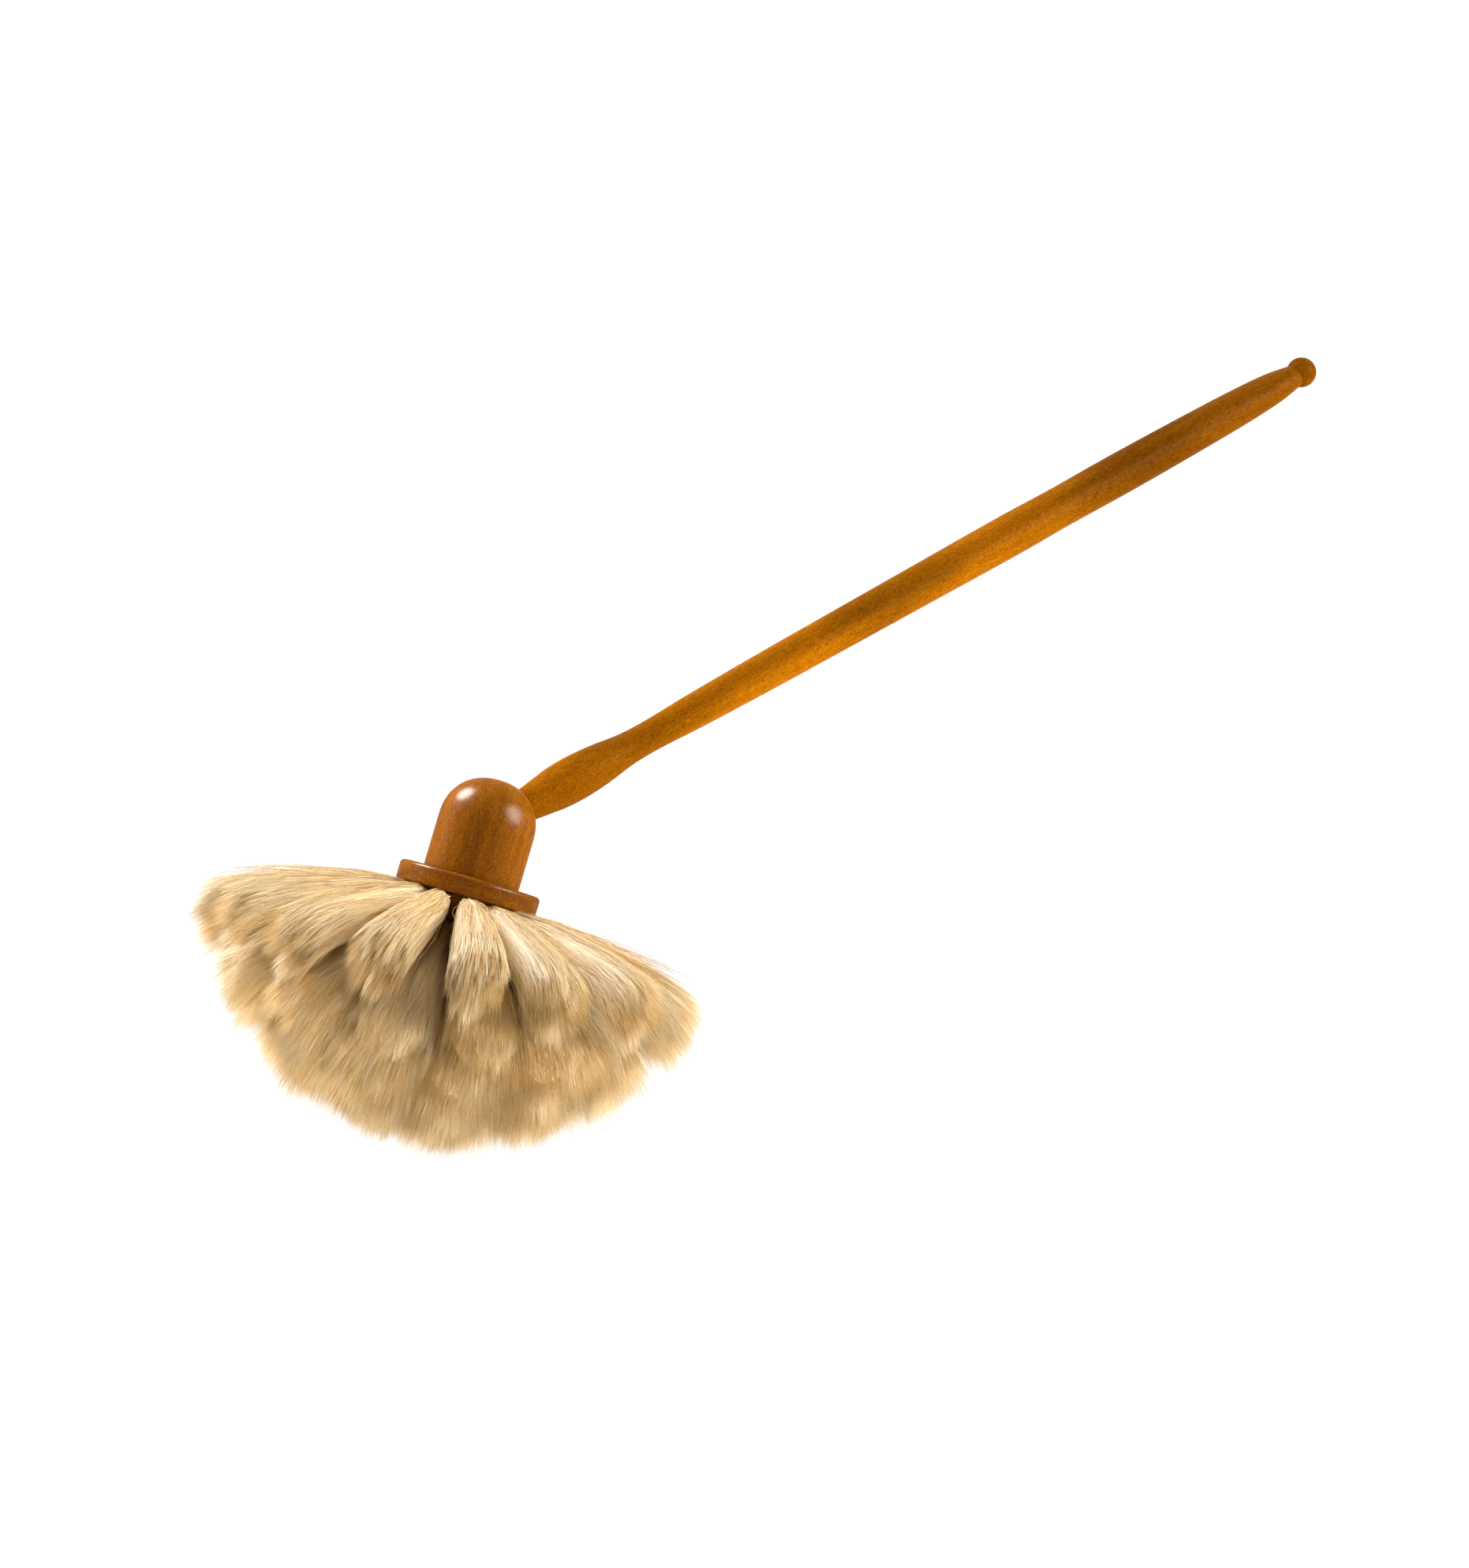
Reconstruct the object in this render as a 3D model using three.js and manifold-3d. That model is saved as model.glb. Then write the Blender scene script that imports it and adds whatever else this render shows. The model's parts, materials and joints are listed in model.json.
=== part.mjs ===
// A goat hair duster: a turned wooden head with four rings of hair tufts and a long turned handle.
// Lengths are in millimetres, angles in degrees. The head is drawn upright in its own frame, with
// the underside of its flange at height 0 and the handle leaning towards +X. At the end the whole
// duster is laid on a table, on two tufts of its first ring and on the ball of its handle.

import * as THREE from "three";
import { mergeVertices } from "three/addons/utils/BufferGeometryUtils.js";
import Module from "manifold-3d";

// Clearances between pieces that are glued or pressed together.
const GLUE_GAP = 0.3;
const SLICE_GAP = 0.45;
const ANCHOR_GAP = 0.3;

// Dome, the round top of the head that holds the handle.
const DOME_RADIUS = 20;
const DOME_HEIGHT = 41.5;
const DOME_CROWN_POWER = 2.2; // 2 is a true hemisphere, more is fuller

// Stock, the flanged piece under the dome that holds the hair.
const FLANGE_RADIUS = 29.4;
const FLANGE_THICKNESS = 8.2;
const FLANGE_EDGE_RADIUS = 1.8;
const FLANGE_FOOT_RADIUS = 0.8;
const SPIGOT_RADIUS = 10;
const SPIGOT_LENGTH = 11;
const BOWL_RADIUS = 24.5;
const SLICE_THICKNESS = 3;
const SLICE_ENDS = [0.8, 22, 44.5, 65.5, 90]; // droop below the flange, degrees
const SLICE_SIDES = [16, 13, 18, 8]; // flats of each slice, with a tuft in the middle of a flat

// Handle, measured along its own axis from the centre of the dome's crown.
const HANDLE_ANGLE = 47.5;
const HANDLE_LENGTH = 457.5;
const TENON_RADIUS = 6;
const TENON_LENGTH = 18;
const SHOULDER_RADIUS = 6.95;
const BULB_RADIUS = 9.4;
const NECK_RADIUS = 6.6;
const GRIP_RADIUS = 9.3;
const CREASE_RADIUS = 5.2;
const BALL_RADIUS = 6.8;

// Hair. Each ring has its count of tufts, the droop of their roots and tips, how far a tuft
// spreads up and down, its share of the full reach, and the turn of its first tuft from the handle.
const RINGS = [
  { count: 16, root: 10, tip: 19.8, spread: 8.4, reach: 1, turn: 18.5 },
  { count: 13, root: 34, tip: 39.2, spread: 8.8, reach: 0.985, turn: 8 },
  { count: 9, root: 55, tip: 58.2, spread: 8.2, reach: 0.96, turn: 25 },
  { count: 4, root: 75.5, tip: 78, spread: 8.2, reach: 0.935, turn: 3 },
];
const HAIR_REACH = 109;
const FAN_LEAN = 2;
const HAIR_SCALLOP = 3.5;
const STRANDS_PER_TUFT = 8;
const STRAND_ROOT_RADIUS = 0.5;
const STRAND_BELLY_RADIUS = 2;
const STRAND_BELLY_AT = 0.62;
const STRAND_TIP_RADIUS = 1.3;
const STRAND_SINK = 1.2;
const ROOT_SPREAD = 2.3;
const TUFT_CLEARANCE = 1.6;

// Holes bored in the stock, each with the flat wire anchor that holds a tuft's folded root.
const HOLE_RADIUS = 2.7;
const ANCHOR_WIDTH = 4;
const ANCHOR_THICKNESS = 0.5;
const ANCHOR_HEIGHT = 1.6;

// Lying pose: how far the dome's end of the head points up, and how deep the hair is cut level.
const AXIS_RISE = 16.6;
const REST_CUT = 0.5;

// How finely round pieces are drawn.
const HEAD_SIDES = 48;
const CORE_SIDES = 24;
const HANDLE_SIDES = 32;
const HOLE_SIDES = 8;
const ARC_STEPS = 5;

const wasm = await Module();
wasm.setup();

const rad = THREE.MathUtils.degToRad;
const UP = new THREE.Vector3(0, 0, 1);

// How near the inner flats of a slice come to the middle.
function nearestFlat(level) {
  const inner = BOWL_RADIUS - SLICE_THICKNESS;
  const narrow = Math.cos(Math.PI / SLICE_SIDES[level]);
  const [a, b] = [rad(SLICE_ENDS[level]), rad(SLICE_ENDS[level + 1])].map((droop) => {
    return new THREE.Vector2(inner * narrow * Math.cos(droop), -inner * Math.sin(droop));
  });
  return Math.abs(a.cross(b)) / a.distanceTo(b);
}

// How far the dome's crown lies from its centre, at an angle from the axis.
function crownDistance(angle) {
  const [out, up] = [Math.sin(rad(angle)), Math.cos(rad(angle))];
  const share = out ** DOME_CROWN_POWER + up ** DOME_CROWN_POWER;
  return DOME_RADIUS / share ** (1 / DOME_CROWN_POWER);
}

// Levels and radii that follow from the sizes above.
const coreRadius = Math.min(...RINGS.map((ring, level) => nearestFlat(level))) - SLICE_GAP;
const anchorMiddle = coreRadius - ANCHOR_HEIGHT / 2;
const holeEnd = coreRadius - ANCHOR_HEIGHT - ANCHOR_GAP;
const domeFoot = FLANGE_THICKNESS + GLUE_GAP;
const crownCentre = FLANGE_THICKNESS + DOME_HEIGHT - DOME_RADIUS;
const boreRadius = TENON_RADIUS + GLUE_GAP;
const crownReach = crownDistance(HANDLE_ANGLE);
const shoulderAt = Math.sqrt(crownReach ** 2 - boreRadius ** 2) + GLUE_GAP;
const tenonEnd = shoulderAt - TENON_LENGTH;

// Turns a profile of [radius, height] points about +Z, with its first edge at an azimuth.
function lathe(profile, sides, azimuth = 0) {
  const points = profile.map(([r, z]) => new THREE.Vector2(r, z));
  return new THREE.LatheGeometry(points, sides, rad(azimuth + 90)).rotateX(Math.PI / 2);
}

// Points of a round corner or bow about [r, z], from one angle to another.
function arc(r, z, radius, from, to, steps = ARC_STEPS) {
  const points = [];
  for (let i = 0; i <= steps; i += 1) {
    const angle = rad(from + ((to - from) * i) / steps);
    points.push([r + radius * Math.cos(angle), z + radius * Math.sin(angle)]);
  }
  return points;
}

// A geometry as a closed body that can be added and subtracted.
function solid(geometry) {
  geometry.deleteAttribute("normal");
  geometry.deleteAttribute("uv");
  const merged = mergeVertices(geometry, 1e-4);
  const corners = merged.index.array;
  const kept = [];
  for (let i = 0; i < corners.length; i += 3) {
    const [a, b, c] = [corners[i], corners[i + 1], corners[i + 2]];
    if (a !== b && b !== c && c !== a) kept.push(a, b, c);
  }
  const mesh = new wasm.Mesh({
    numProp: 3,
    vertProperties: new Float32Array(merged.attributes.position.array),
    triVerts: new Uint32Array(kept),
  });
  return new wasm.Manifold(mesh);
}

// A closed body back as a geometry.
function geometryOf(body) {
  const mesh = body.getMesh();
  const geometry = new THREE.BufferGeometry();
  geometry.setAttribute("position", new THREE.BufferAttribute(mesh.vertProperties, 3));
  geometry.setIndex(new THREE.BufferAttribute(mesh.triVerts, 1));
  geometry.computeVertexNormals();
  return geometry;
}

// A direction from the middle of the flange's underside, by droop and azimuth, with its sides.
function heading(droop, azimuth) {
  const [d, a] = [rad(droop), rad(azimuth)];
  const out = new THREE.Vector3(Math.cos(d) * Math.cos(a), Math.cos(d) * Math.sin(a), -Math.sin(d));
  const east = new THREE.Vector3(-Math.sin(a), Math.cos(a), 0);
  const south = new THREE.Vector3().crossVectors(east, out);
  return { out, east, south };
}

function azimuthOf(ring, index) {
  return ring.turn + (index * 360) / ring.count;
}

// The hole for a tuft's root, from its end in the core out to the bowl's surface.
function hole(ring, index) {
  const { out } = heading(ring.root, azimuthOf(ring, index));
  const turn = new THREE.Quaternion().setFromUnitVectors(UP, out);
  return new THREE.CylinderGeometry(HOLE_RADIUS, HOLE_RADIUS, BOWL_RADIUS - holeEnd, HOLE_SIDES)
    .rotateX(Math.PI / 2)
    .translate(0, 0, (holeEnd + BOWL_RADIUS) / 2)
    .applyQuaternion(turn);
}

// One strand: a three-sided bar bent along a curve from root to tip, thickest at its belly.
function strand(curve) {
  const corners = [0, 120, 240].map((angle) => {
    return new THREE.Vector2(Math.cos(rad(angle)), Math.sin(rad(angle)));
  });
  const options = { depth: 1, steps: 2, bevelEnabled: false };
  const bar = new THREE.ExtrudeGeometry(new THREE.Shape(corners), options);
  const widths = [STRAND_ROOT_RADIUS, STRAND_BELLY_RADIUS, STRAND_TIP_RADIUS];
  const place = bar.attributes.position;
  const along = curve.v2.clone().sub(curve.v0).normalize();
  const side = new THREE.Vector3().crossVectors(UP, along).normalize();
  const over = new THREE.Vector3().crossVectors(along, side);
  for (let i = 0; i < place.count; i += 1) {
    const step = Math.round(place.getZ(i) * 2);
    const point = curve
      .getPoint([0, STRAND_BELLY_AT, 1][step])
      .addScaledVector(side, place.getX(i) * widths[step])
      .addScaledVector(over, place.getY(i) * widths[step]);
    place.setXYZ(i, point.x, point.y, point.z);
  }
  return solid(bar);
}

// The strands of one tuft, spread like seeds in a sunflower at both ends, so that none cross.
// The whole fan of tips leans a little, up on the handle's side.
function tuft(ring, index) {
  const azimuth = azimuthOf(ring, index);
  const root = heading(ring.root, azimuth);
  const tip = heading(ring.tip, azimuth);
  const across = new THREE.Vector3(0, 1, 0);
  Object.values(tip).forEach((way) => way.applyAxisAngle(across, -rad(FAN_LEAN)));
  const widest = Math.asin(Math.cos(rad(ring.tip)) * Math.sin(Math.PI / ring.count));
  const aside = Math.tan(widest) - TUFT_CLEARANCE / HAIR_REACH;
  const down = Math.tan(rad(ring.spread));
  const strands = [];
  for (let j = 0; j < STRANDS_PER_TUFT; j += 1) {
    const far = Math.sqrt((j + 0.5) / STRANDS_PER_TUFT);
    const p = far * Math.cos(rad(j * 137.5 + 90));
    const q = far * Math.sin(rad(j * 137.5 + 90));
    const start = root.out
      .clone()
      .multiplyScalar(BOWL_RADIUS - STRAND_SINK)
      .addScaledVector(root.east, p * ROOT_SPREAD)
      .addScaledVector(root.south, q * ROOT_SPREAD);
    const end = tip.out
      .clone()
      .addScaledVector(tip.east, p * aside)
      .addScaledVector(tip.south, q * down)
      .setLength(HAIR_REACH * ring.reach - HAIR_SCALLOP * far ** 2);
    const chord = end.clone().sub(start);
    const half = chord.length() / 2;
    const bend = root.out.clone().lerp(chord.normalize(), 0.5).setLength(half).add(start);
    strands.push(strand(new THREE.QuadraticBezierCurve3(start, bend, end)));
  }
  return strands;
}

// One ring of hair: its strands on their slice of the bowl's wall.
function hairTier(ring, level) {
  const inner = BOWL_RADIUS - SLICE_THICKNESS;
  const from = SLICE_ENDS[level];
  const to = SLICE_ENDS[level + 1];
  const gap = to < 90 ? THREE.MathUtils.radToDeg(SLICE_GAP / inner) : 0;
  const slice = lathe(
    [
      ...arc(0, 0, inner, -from, gap - to, 1),
      ...arc(0, 0, BOWL_RADIUS, gap - to, -from, 1),
      [inner * Math.cos(rad(from)), -inner * Math.sin(rad(from))],
    ],
    SLICE_SIDES[level],
    ring.turn + 180 / SLICE_SIDES[level],
  );
  const pieces = [solid(slice)];
  for (let i = 0; i < ring.count; i += 1) {
    pieces.push(...tuft(ring, i));
  }
  return wasm.Manifold.union(pieces);
}

// The stock: hemispherical core under the hair slices, flange, and spigot up into the dome.
function stock() {
  const edge = FLANGE_RADIUS - FLANGE_EDGE_RADIUS;
  const foot = FLANGE_RADIUS - FLANGE_FOOT_RADIUS;
  const core = lathe(
    [...arc(0, 0, coreRadius, -90, 0, 4), [coreRadius, FLANGE_FOOT_RADIUS], [0, FLANGE_FOOT_RADIUS]],
    CORE_SIDES,
  );
  const flange = lathe(
    [
      [0, 0],
      ...arc(foot, FLANGE_FOOT_RADIUS, FLANGE_FOOT_RADIUS, -90, 0, 2),
      ...arc(edge, FLANGE_THICKNESS - FLANGE_EDGE_RADIUS, FLANGE_EDGE_RADIUS, 0, 90),
      [SPIGOT_RADIUS, FLANGE_THICKNESS],
      [SPIGOT_RADIUS, FLANGE_THICKNESS + SPIGOT_LENGTH],
      [0, FLANGE_THICKNESS + SPIGOT_LENGTH],
    ],
    HEAD_SIDES,
  );
  const holes = [];
  for (const ring of RINGS) {
    for (let i = 0; i < ring.count; i += 1) {
      holes.push(solid(hole(ring, i)));
    }
  }
  return solid(core).add(solid(flange)).subtract(wasm.Manifold.union(holes));
}

// The dome, with a hole for the spigot below and a slanting hole for the handle's tenon.
function dome() {
  const socket = SPIGOT_RADIUS + GLUE_GAP;
  const socketTop = FLANGE_THICKNESS + SPIGOT_LENGTH + GLUE_GAP;
  const crown = [];
  for (let i = 0; i <= 16; i += 1) {
    const angle = (i / 16) * (Math.PI / 2);
    const r = DOME_RADIUS * Math.cos(angle) ** (2 / DOME_CROWN_POWER);
    const z = DOME_RADIUS * Math.sin(angle) ** (2 / DOME_CROWN_POWER);
    crown.push([i < 16 ? r : 0, crownCentre + z]);
  }
  const turned = lathe(
    [[0, socketTop], [socket, socketTop], [socket, domeFoot], [DOME_RADIUS, domeFoot], ...crown],
    HEAD_SIDES,
  );
  const from = tenonEnd - GLUE_GAP;
  const to = DOME_RADIUS * 2;
  const bore = new THREE.CylinderGeometry(boreRadius, boreRadius, to - from, HANDLE_SIDES)
    .rotateX(Math.PI / 2)
    .translate(0, 0, (from + to) / 2)
    .rotateY(rad(HANDLE_ANGLE))
    .translate(0, 0, crownCentre);
  return solid(turned).subtract(solid(bore));
}

// The handle, turned about +Z from its tenon to the ball.
function handle() {
  const creaseAt = HANDLE_LENGTH - Math.sqrt(BALL_RADIUS ** 2 - CREASE_RADIUS ** 2);
  const creaseAngle = THREE.MathUtils.radToDeg(Math.asin(CREASE_RADIUS / BALL_RADIUS));
  const span = creaseAt - shoulderAt;
  const stations = [
    [0, SHOULDER_RADIUS],
    [0.021, BULB_RADIUS * 0.875],
    [0.037, BULB_RADIUS * 0.97],
    [0.058, BULB_RADIUS],
    [0.085, BULB_RADIUS * 0.925],
    [0.117, NECK_RADIUS * 1.06],
    [0.142, NECK_RADIUS],
    [0.167, NECK_RADIUS * 1.035],
    [0.205, GRIP_RADIUS * 0.8],
    [0.3, GRIP_RADIUS * 0.88],
    [0.454, GRIP_RADIUS * 0.945],
    [0.6, GRIP_RADIUS],
    [0.67, GRIP_RADIUS * 0.97],
    [0.76, GRIP_RADIUS * 0.995],
    [0.875, GRIP_RADIUS * 0.94],
    [0.935, GRIP_RADIUS * 0.865],
    [0.972, GRIP_RADIUS * 0.755],
    [1, CREASE_RADIUS],
  ];
  const curve = new THREE.SplineCurve(
    stations.map(([share, r]) => new THREE.Vector2(r, shoulderAt + share * span)),
  );
  const outline = curve.getPoints(34).map((point) => [point.x, point.y]);
  const ball = arc(0, HANDLE_LENGTH, BALL_RADIUS, creaseAngle - 90, 90, 7);
  ball[ball.length - 1][0] = 0;
  const turned = lathe(
    [
      [0, tenonEnd],
      [TENON_RADIUS, tenonEnd],
      [TENON_RADIUS, shoulderAt],
      ...outline,
      ...ball.slice(1),
    ],
    HANDLE_SIDES,
  );
  return solid(turned);
}

// How the duster lies: the way down in the head's frame, the height of the head's middle, and
// the turn from the head's frame to the table's. The ball is lowered until it touches too.
function lyingPose(tiers) {
  const tilt = rad(HANDLE_ANGLE);
  const rise = Math.sin(rad(AXIS_RISE));
  const lean = new THREE.Vector3(Math.sin(tilt), 0, Math.cos(tilt));
  const spots = [];
  for (const tier of tiers) {
    const place = tier.getMesh().vertProperties;
    for (let i = 0; i < place.length; i += 3) {
      spots.push(new THREE.Vector3(place[i], place[i + 1], place[i + 2]));
    }
  }
  const down = new THREE.Vector3();
  let slope = 0.24;
  let height = 0;
  for (let round = 0; round < 12; round += 1) {
    const forward = (slope + lean.z * rise) / lean.x;
    down.set(forward, Math.sqrt(1 - forward ** 2 - rise ** 2), -rise);
    height = Math.max(...spots.map((spot) => spot.dot(down))) - REST_CUT;
    slope = (height + crownCentre * rise - BALL_RADIUS) / HANDLE_LENGTH;
  }
  const along = lean.clone().addScaledVector(down, -lean.dot(down)).normalize();
  const up = down.clone().negate();
  const across = new THREE.Vector3().crossVectors(up, along);
  const turn = new THREE.Matrix4().makeBasis(along, across, up).transpose();
  return { down, height, turn };
}

const wood = new THREE.MeshStandardMaterial({ color: 0xa9682c, roughness: 0.4 });
const stockWood = new THREE.MeshStandardMaterial({ color: 0x9c5a2a, roughness: 0.45 });
const hair = new THREE.MeshStandardMaterial({ color: 0xdcc39a, roughness: 0.8 });
const steel = new THREE.MeshStandardMaterial({ color: 0xb8babd, roughness: 0.35, metalness: 1 });

function named(name, geometry, material) {
  const mesh = new THREE.Mesh(geometry, material);
  mesh.name = name;
  return mesh;
}

const tiers = RINGS.map(hairTier);
const pose = lyingPose(tiers);

const lying = new THREE.Group();
lying.name = "lying_duster";
lying.quaternion.setFromRotationMatrix(pose.turn);
lying.position.z = pose.height;
lying.add(named("stock", geometryOf(stock()), stockWood));
lying.add(named("dome", geometryOf(dome()), wood));

const handleTurn = new THREE.Group();
handleTurn.name = "handle_turn";
handleTurn.position.z = crownCentre;
handleTurn.rotation.y = rad(HANDLE_ANGLE);
handleTurn.add(named("handle", geometryOf(handle()), wood));
lying.add(handleTurn);

// The hair is cut level where it stands on the table.
const tableTop = solid(
  new THREE.BoxGeometry(4 * HAIR_REACH, 4 * HAIR_REACH, HAIR_REACH)
    .translate(0, 0, -HAIR_REACH / 2 - pose.height)
    .applyMatrix4(pose.turn.clone().transpose()),
);
tiers.forEach((tier, level) => {
  lying.add(named(`hair_tier_${level + 1}`, geometryOf(tier.subtract(tableTop)), hair));
});

RINGS.forEach((ring, level) => {
  for (let i = 0; i < ring.count; i += 1) {
    const { out } = heading(ring.root, azimuthOf(ring, i));
    const plate = new THREE.BoxGeometry(ANCHOR_WIDTH, ANCHOR_THICKNESS, ANCHOR_HEIGHT);
    const anchor = named(`anchor_${level + 1}_${String(i + 1).padStart(2, "0")}`, plate, steel);
    anchor.position.copy(out).multiplyScalar(anchorMiddle);
    anchor.quaternion.setFromUnitVectors(UP, out);
    lying.add(anchor);
  }
});

const duster = new THREE.Group();
duster.name = "goat_hair_duster";
duster.add(lying);
duster.updateMatrixWorld(true);
const middle = new THREE.Box3().setFromObject(duster, true).getCenter(new THREE.Vector3());
lying.position.x -= middle.x;
lying.position.y -= middle.y;

export default duster;
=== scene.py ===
import json
from math import asin, cos, degrees, radians, sin, sqrt

import bpy
import numpy as np
from mathutils import Matrix, Vector


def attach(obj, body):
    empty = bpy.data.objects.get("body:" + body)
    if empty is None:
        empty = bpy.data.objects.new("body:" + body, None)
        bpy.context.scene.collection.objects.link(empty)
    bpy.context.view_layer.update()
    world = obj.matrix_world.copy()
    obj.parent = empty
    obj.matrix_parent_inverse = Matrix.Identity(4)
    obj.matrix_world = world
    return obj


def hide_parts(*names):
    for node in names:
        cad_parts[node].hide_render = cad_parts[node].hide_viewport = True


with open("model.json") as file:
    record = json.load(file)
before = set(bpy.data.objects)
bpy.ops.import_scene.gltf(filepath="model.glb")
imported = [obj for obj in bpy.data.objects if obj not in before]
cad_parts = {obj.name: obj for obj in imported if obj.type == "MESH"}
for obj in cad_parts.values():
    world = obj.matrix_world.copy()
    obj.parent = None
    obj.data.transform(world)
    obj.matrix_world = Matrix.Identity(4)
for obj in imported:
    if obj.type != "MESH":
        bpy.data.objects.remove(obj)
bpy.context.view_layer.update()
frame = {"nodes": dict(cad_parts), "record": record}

# The handle, one turned piece of oiled fruit wood: a bulb next to the head, a thin neck, a long grip
# that swells a little, a crease and a small ball. Its tenon is glued into the dome.
SHOULDER_AT = 19.95  # millimetres along the handle, from where its axis meets the head's
CREASE_AT = 453.1
BALL_AT = 457.5
SHOULDER, BULB, NECK, GRIP, CREASE, BALL = 6.95, 9.4, 6.6, 9.3, 5.2, 6.8  # radii
TENON_RADIUS = 5.6
TENON_END = 8
SHOULDER_SLOPE = 3  # from the tenon out to the shoulder
HANDLE_STATIONS = (  # share of the way from the shoulder to the crease, and radius
    (0, SHOULDER), (0.021, 0.875 * BULB), (0.037, 0.97 * BULB), (0.058, BULB), (0.085, 0.925 * BULB),
    (0.117, 1.06 * NECK), (0.142, NECK), (0.167, 1.035 * NECK), (0.205, 0.8 * GRIP),
    (0.3, 0.88 * GRIP), (0.454, 0.945 * GRIP), (0.6, GRIP), (0.67, 0.97 * GRIP), (0.76, 0.995 * GRIP),
    (0.875, 0.94 * GRIP), (0.935, 0.865 * GRIP), (0.972, 0.755 * GRIP), (1, CREASE),
)


def smooth_line(stations, steps):
    """A smooth curve through (share, radius) stations, as the turner's eye draws it."""
    points = np.array([stations[0], *stations, stations[-1]], float)
    line = []
    for before, start, end, after in zip(points, points[1:], points[2:], points[3:]):
        for t in np.arange(steps) / steps:
            rise_out, rise_in = (end - before) / 2, (after - start) / 2
            line.append(
                (2 * start - 2 * end + rise_out + rise_in) * t**3
                + (3 * end - 3 * start - 2 * rise_out - rise_in) * t**2
                + rise_out * t
                + start
            )
    return [tuple(point) for point in line] + [tuple(points[-1])]


def bow(radius, height, curve, start, end, steps):
    """Points of a round edge about (radius, height), from one angle to another, in degrees."""
    turns = [radians(start + (end - start) * i / steps) for i in range(steps + 1)]
    return [(radius + curve * cos(turn), height + curve * sin(turn)) for turn in turns]


def turn_on_lathe(name, profile, sides):
    """A turned solid about Z from (radius, height) points: a disc, extruded and resized ring by ring."""
    bpy.ops.object.select_all(action="DESELECT")
    radius, height = profile[0]
    bpy.ops.mesh.primitive_circle_add(vertices=sides, radius=radius, fill_type="NGON")
    piece = bpy.context.object
    piece.name = piece.data.name = name
    bpy.ops.object.mode_set(mode="EDIT")
    bpy.ops.mesh.select_all(action="SELECT")
    bpy.ops.transform.translate(value=(0, 0, height))
    for next_radius, next_height in profile[1:]:
        step = {"value": (0, 0, next_height - height)}
        bpy.ops.mesh.extrude_region_move(TRANSFORM_OT_translate=step)
        change = next_radius / radius
        middle = (0, 0, next_height)
        bpy.ops.transform.resize(value=(change, change, 1), center_override=middle)
        radius, height = next_radius, next_height
    bpy.ops.mesh.select_all(action="SELECT")
    bpy.ops.mesh.normals_make_consistent(inside=False)
    bpy.ops.object.mode_set(mode="OBJECT")
    return piece


handle_profile = [(TENON_RADIUS, TENON_END), (TENON_RADIUS, SHOULDER_AT - SHOULDER_SLOPE)]
for share, radius in smooth_line(HANDLE_STATIONS, steps=9):
    handle_profile.append((radius, SHOULDER_AT + share * (CREASE_AT - SHOULDER_AT)))
crease_angle = degrees(asin(CREASE / BALL)) - 90
handle_profile += bow(0, BALL_AT, BALL, start=crease_angle, end=89, steps=24)[1:]
handle = turn_on_lathe("turned_handle", handle_profile, sides=72)

# How the duster lies: on the tips of its lowest tufts and on the ball of its handle. Each piece is
# turned upright, in millimetres, the head's above the middle of the flange's underside, and laid here.
MM = 0.001
HANDLE_ANGLE = radians(47.5)  # between the head's axis and the handle
HEAD_RISE = radians(16.6)  # how far the dome's end of that axis points up
CROWN_CENTRE = 29.7  # height on the head's axis at which the handle's axis meets it
GRIP_FROM_CROWN = 200  # along the handle, from there to where a hand holds it
ROUND_EDGE = radians(32)  # an edge flatter than this is shaded round

grip = next(m for m in frame["record"]["mounts"] if m["name"] == "hand_grip")
handle_way = Vector(grip["axis"]).normalized()
crown = Vector(grip["pos_m"]) - GRIP_FROM_CROWN * MM * handle_way
rise = sin(HEAD_RISE)
forward = (cos(HANDLE_ANGLE) - rise * handle_way.z) / handle_way.x
head_way = Vector((forward, sqrt(1 - forward**2 - rise**2), rise))
handle_side = (handle_way - head_way * head_way.dot(handle_way)).normalized()
head_lie = Matrix((handle_side, head_way.cross(handle_side), head_way)).transposed().to_4x4()
head_lie.translation = crown - CROWN_CENTRE * MM * head_way
handle_lie = head_lie @ Matrix.Translation((0, 0, CROWN_CENTRE * MM))
handle_lie = handle_lie @ Matrix.Rotation(HANDLE_ANGLE, 4, "Y")


def lay_down(piece, lie):
    """Puts a finished piece where it lies, with its place in its mesh, and smooths its round faces."""
    piece.data.transform(lie @ Matrix.Scale(MM, 4))
    bpy.ops.object.select_all(action="DESELECT")
    piece.select_set(True)
    bpy.context.view_layer.objects.active = piece
    bpy.ops.object.shade_smooth_by_angle(angle=ROUND_EDGE)


def add_node(tree, kind, inputs, **settings):
    """One shader node with its settings, and with values or links on its inputs."""
    made = tree.nodes.new(kind)
    for key, value in settings.items():
        setattr(made, key, value)
    for key, value in inputs.items():
        if isinstance(value, bpy.types.NodeSocket):
            tree.links.new(value, made.inputs[key])
        else:
            made.inputs[key].default_value = value
    return made


def paint(red, green, blue):
    """A colour as it looks on screen, 0 to 255, as the light that a shader socket takes."""
    shares = [part / 255 for part in (red, green, blue)]
    return [s / 12.92 if s < 0.04045 else ((s + 0.055) / 1.055) ** 2.4 for s in shares] + [1]


def grey(level):
    """A grey for a shader socket, from 0, black, to 1, white."""
    return (level, level, level, 1)


def colour_ramp(tree, factor, stops):
    """A ramp from (position, colour) stops."""
    ramp = add_node(tree, "ShaderNodeValToRGB", {"Fac": factor})
    elements = ramp.color_ramp.elements
    while len(elements) < len(stops):
        elements.new(0.5)
    for element, (position, colour) in zip(elements, stops):
        element.position = position
        element.color = colour
    return ramp.outputs["Color"]


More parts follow.
